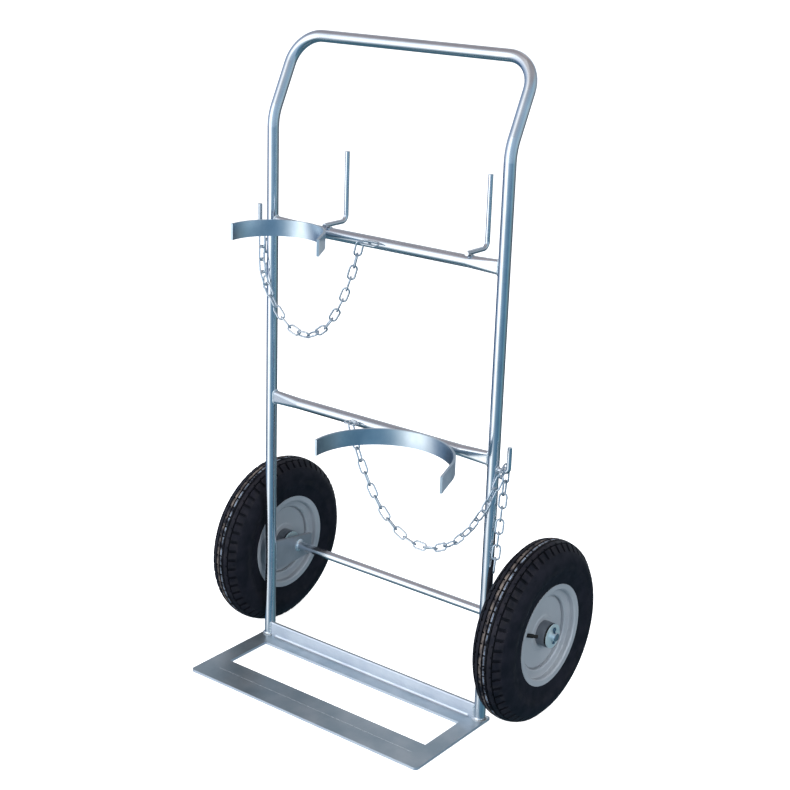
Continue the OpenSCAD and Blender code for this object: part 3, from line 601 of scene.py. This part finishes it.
# Where the end link holds the chain, on its bow at this angle, and its sizes.
END_LINK_HOLD = at_frame(-33.75, -29.55, UPPER_BAR_Z)
END_LINK_HOLD_AT = math.radians(240)
END_LINK_BOW = 7.5
END_LINK_STRAIGHT = 30
END_LINK_TILT = math.radians(20)
END_LINK_WIRE_R = 1.75


def solids(node):
    """The separate solids of a node, each as an array of places in metres and a list of faces.

    Vertices that share a place, to a micrometre, count as one.
    """
    mesh = nodes[node].data
    number = {}
    merged = [number.setdefault(tuple(round(c, 6) for c in v.co), len(number)) for v in mesh.vertices]
    faces = [[merged[i] for i in polygon.vertices] for polygon in mesh.polygons]
    owner = list(range(len(number)))

    def root(i):
        while owner[i] != i:
            owner[i] = owner[owner[i]]
            i = owner[i]
        return i

    for face in faces:
        for i in face[1:]:
            owner[root(i)] = root(face[0])
    places = np.array(list(number))
    members, own_faces = {}, {}
    for i in range(len(places)):
        members.setdefault(root(i), []).append(i)
    for face in faces:
        own_faces.setdefault(root(face[0]), []).append(face)
    made = []
    for key, ids in members.items():
        local = {i: k for k, i in enumerate(ids)}
        made.append((places[ids], [[local[i] for i in face] for face in own_faces[key]]))
    return made


def in_order(links, start):
    """The links of a chain, from the one nearest to a place on."""
    ordered, rest, place = [], list(links), np.array(start)
    while rest:
        k = min(range(len(rest)), key=lambda i: np.linalg.norm(rest[i][0].mean(axis=0) - place))
        ordered.append(rest.pop(k))
        place = ordered[-1][0].mean(axis=0)
    return ordered


def link_turn(k, count):
    """Angle by which link k of a chain is turned about its length. The last link isn't turned."""
    turn = TURN_AT_START + (TURN_IN_MIDDLE - TURN_AT_START) * min(1, k / LINKS_TO_MIDDLE)
    return math.radians(turn) * min(1, (count - 1 - k) / LINKS_AT_END)


def turned_chain(name, node, body, start):
    """A node's chain with its links turned about their length, in the node's place."""
    links = in_order(solids(node), start)
    middles = [places.mean(axis=0) for places, _ in links]
    vertices, faces = [], []
    for k, (places, link_faces) in enumerate(links):
        ahead = middles[k + 1] - middles[k] if k + 1 < len(links) else middles[k] - middles[k - 1]
        along = np.linalg.eigh(np.cov((places - middles[k]).T))[1][:, 2]
        along = Vector(along if along @ ahead > 0 else -along)
        turn = np.array(Matrix.Rotation(link_turn(k, len(links)), 3, along))
        faces += [[len(vertices) + i for i in face] for face in link_faces]
        vertices += list((places - middles[k]) @ turn.T + middles[k])
    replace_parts(mesh_object(name, vertices, faces, "chain_zinc", body), node)


def end_link(name, node):
    """A link that leans back on the crossbar, with the chain in the front of its left bow."""
    along = Vector((1, 0, 0))
    across = Vector((0, math.cos(END_LINK_TILT), math.sin(END_LINK_TILT)))

    def on_bow(angle):
        return END_LINK_BOW * (math.cos(angle) * along + math.sin(angle) * across)

    left_bow = END_LINK_HOLD - on_bow(END_LINK_HOLD_AT)
    path = []
    for middle, first in ((left_bow, 90), (left_bow + END_LINK_STRAIGHT * along, 270)):
        path += [middle + on_bow(math.radians(degrees)) for degrees in range(first, first + 181, 10)]
    vertices, faces = bead(path + path[:1], END_LINK_WIRE_R, closed=True, rippled=False)
    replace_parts(mesh_object(name, vertices, faces, "chain_zinc", "frame"), node)


turned_chain("upper_chain_links", "upper_chain", "upper_chain", MM * END_LINK_HOLD)
end_link("upper_end_link", "upper_chain_anchor")


# Camera

CAMERA_PLACE = Vector((1.8551, -2.4228, 1.6659))
CAMERA_RIGHT = Vector((0.7916, 0.6102, 0.0314))
CAMERA_UP = Vector((-0.2149, 0.2301, 0.9491))
FOCAL_PIXELS = 1511.49
IMAGE_PIXELS = 790
SENSOR_WIDTH = 36

camera_data = bpy.data.cameras.new("camera")
camera_data.sensor_fit = "HORIZONTAL"
camera_data.sensor_width = SENSOR_WIDTH
camera_data.lens = FOCAL_PIXELS * SENSOR_WIDTH / IMAGE_PIXELS
camera = bpy.data.objects.new("camera", camera_data)
bpy.context.scene.collection.objects.link(camera)
right = CAMERA_RIGHT.normalized()
up = (CAMERA_UP - right * CAMERA_UP.dot(right)).normalized()
turn = Matrix((right, up, right.cross(up))).transposed()
camera.matrix_world = Matrix.Translation(CAMERA_PLACE) @ turn.to_4x4()
bpy.context.scene.camera = camera


# Floor and light

FLOOR_HALF = 80
FLOOR_DROP = 0.0005
FLOOR_GLOW = 0.88
FLOOR_SPECULAR = 0.1
BACKDROP = (1.0, 1.0, 1.0)


def floor(colour):
    """A floor that shows to the camera and takes shadows, but throws no light back on the object."""
    coat, _, shader = material("floor", metallic=0.0, roughness=0.9, colour=colour)
    shader.inputs["Specular IOR Level"].default_value = FLOOR_SPECULAR
    shader.inputs["Emission Color"].default_value = (1, 1, 1, 1)
    shader.inputs["Emission Strength"].default_value = FLOOR_GLOW
    mesh = bpy.data.meshes.new("floor")
    corners = ((-1, -1), (1, -1), (1, 1), (-1, 1))
    vertices = [(x * FLOOR_HALF, y * FLOOR_HALF, -FLOOR_DROP) for x, y in corners]
    mesh.from_pydata(vertices, [], [(0, 1, 2, 3)])
    mesh.materials.append(coat)
    made = bpy.data.objects.new("floor", mesh)
    bpy.context.scene.collection.objects.link(made)
    made.visible_diffuse = False
    made.visible_glossy = False


def studio(name, sides, layers):
    """A world of coloured sides, by bearing from +X in degrees, with layers of another colour above or below.

    A layer grows from nothing to its share between two heights, given as the sine of the elevation.
    The camera sees the plain backdrop instead: the colours light the object and show in the metal.
    """
    made = bpy.data.worlds.new(name)
    made.use_nodes = True
    tree = made.node_tree
    place = tree.nodes.new("ShaderNodeTexCoord")
    split = tree.nodes.new("ShaderNodeSeparateXYZ")
    tree.links.new(place.outputs["Generated"], split.inputs["Vector"])
    bearing = tree.nodes.new("ShaderNodeMath")
    bearing.operation = "ARCTAN2"
    tree.links.new(split.outputs["Y"], bearing.inputs[0])
    tree.links.new(split.outputs["X"], bearing.inputs[1])
    round_about = tree.nodes.new("ShaderNodeValToRGB")
    tree.links.new(between(tree, bearing.outputs["Value"], -math.pi, math.pi), round_about.inputs["Fac"])
    stops = round_about.color_ramp.elements
    for k, (degrees, colour) in enumerate(sides):
        stop = stops[k] if k < 2 else stops.new(1.0)
        stop.position = (degrees + 180) / 360
        stop.color = (*colour, 1)
    shade = round_about.outputs["Color"]
    for (low, high), share, colour in layers:
        shade = mixed(tree, between(tree, split.outputs["Z"], low, high, top=share), shade, colour)
    path = tree.nodes.new("ShaderNodeLightPath")
    shade = mixed(tree, path.outputs["Is Camera Ray"], shade, BACKDROP)
    tree.links.new(shade, tree.nodes["Background"].inputs["Color"])
    bpy.context.scene.world = made


def area_light(name, size, power, place, target, colour=(1, 1, 1)):
    """A soft light that isn't mirrored: what the metal mirrors is the studio."""
    data = bpy.data.lights.new(name, "AREA")
    data.shape = "RECTANGLE"
    data.size, data.size_y = size
    data.energy = power
    data.color = colour
    made = bpy.data.objects.new(name, data)
    made.location = place
    made.rotation_euler = (Vector(target) - Vector(place)).to_track_quat("-Z", "Y").to_euler()
    made.visible_glossy = False
    bpy.context.scene.collection.objects.link(made)


# Each bearing has the colour that the tubes mirror there. The layers are haze, ceiling and ground.
DARK_BLUE = (0.05, 0.11, 0.24)
WHITE = (2.0, 2.08, 2.12)
REAR_GREY = (0.50, 0.54, 0.58)
BROWN = (0.20, 0.18, 0.18)
studio(
    "studio",
    sides=(
        (-180, DARK_BLUE), (-167, DARK_BLUE), (-152, (0.42, 0.50, 0.66)), (-136, (0.95, 1.02, 1.12)),
        (-122, WHITE), (-102, WHITE), (-86, (0.78, 0.92, 1.02)), (-70, (0.26, 0.40, 0.54)),
        (-46, (0.14, 0.28, 0.43)), (-10, (0.08, 0.18, 0.29)), (12, (0.15, 0.34, 0.46)),
        (38, (0.20, 0.28, 0.30)), (60, (0.05, 0.06, 0.08)), (88, (0.03, 0.03, 0.04)),
        (97, REAR_GREY), (120, REAR_GREY), (127, BROWN), (140, BROWN), (156, DARK_BLUE),
    ),
    layers=(
        ((-0.20, -0.06), 0.30, (0.80, 0.95, 1.10)),
        ((0.46, 0.74), 0.75, (0.34, 0.285, 0.275)),
        ((-0.12, -0.72), 1.0, (0.06, 0.14, 0.19)),
    ),
)
bpy.context.scene.view_settings.view_transform = "Standard"

MIDDLE = (0, 0, 0.7)
FOOT = (0, 0, 0)
floor((0.92, 0.92, 0.92))
area_light("key", size=(1.2, 2.8), power=60, place=(-2.2, -1.9, 1.5), target=MIDDLE)
area_light("front", size=(0.9, 2.4), power=45, place=(1.0, -3.2, 1.5), target=MIDDLE)
area_light("side", size=(1.6, 2.0), power=62, place=(3.2, -0.9, 1.5), target=MIDDLE, colour=(1.0, 0.98, 0.95))
area_light("top", size=(2.6, 2.6), power=30, place=(0, 0.2, 3.6), target=FOOT)
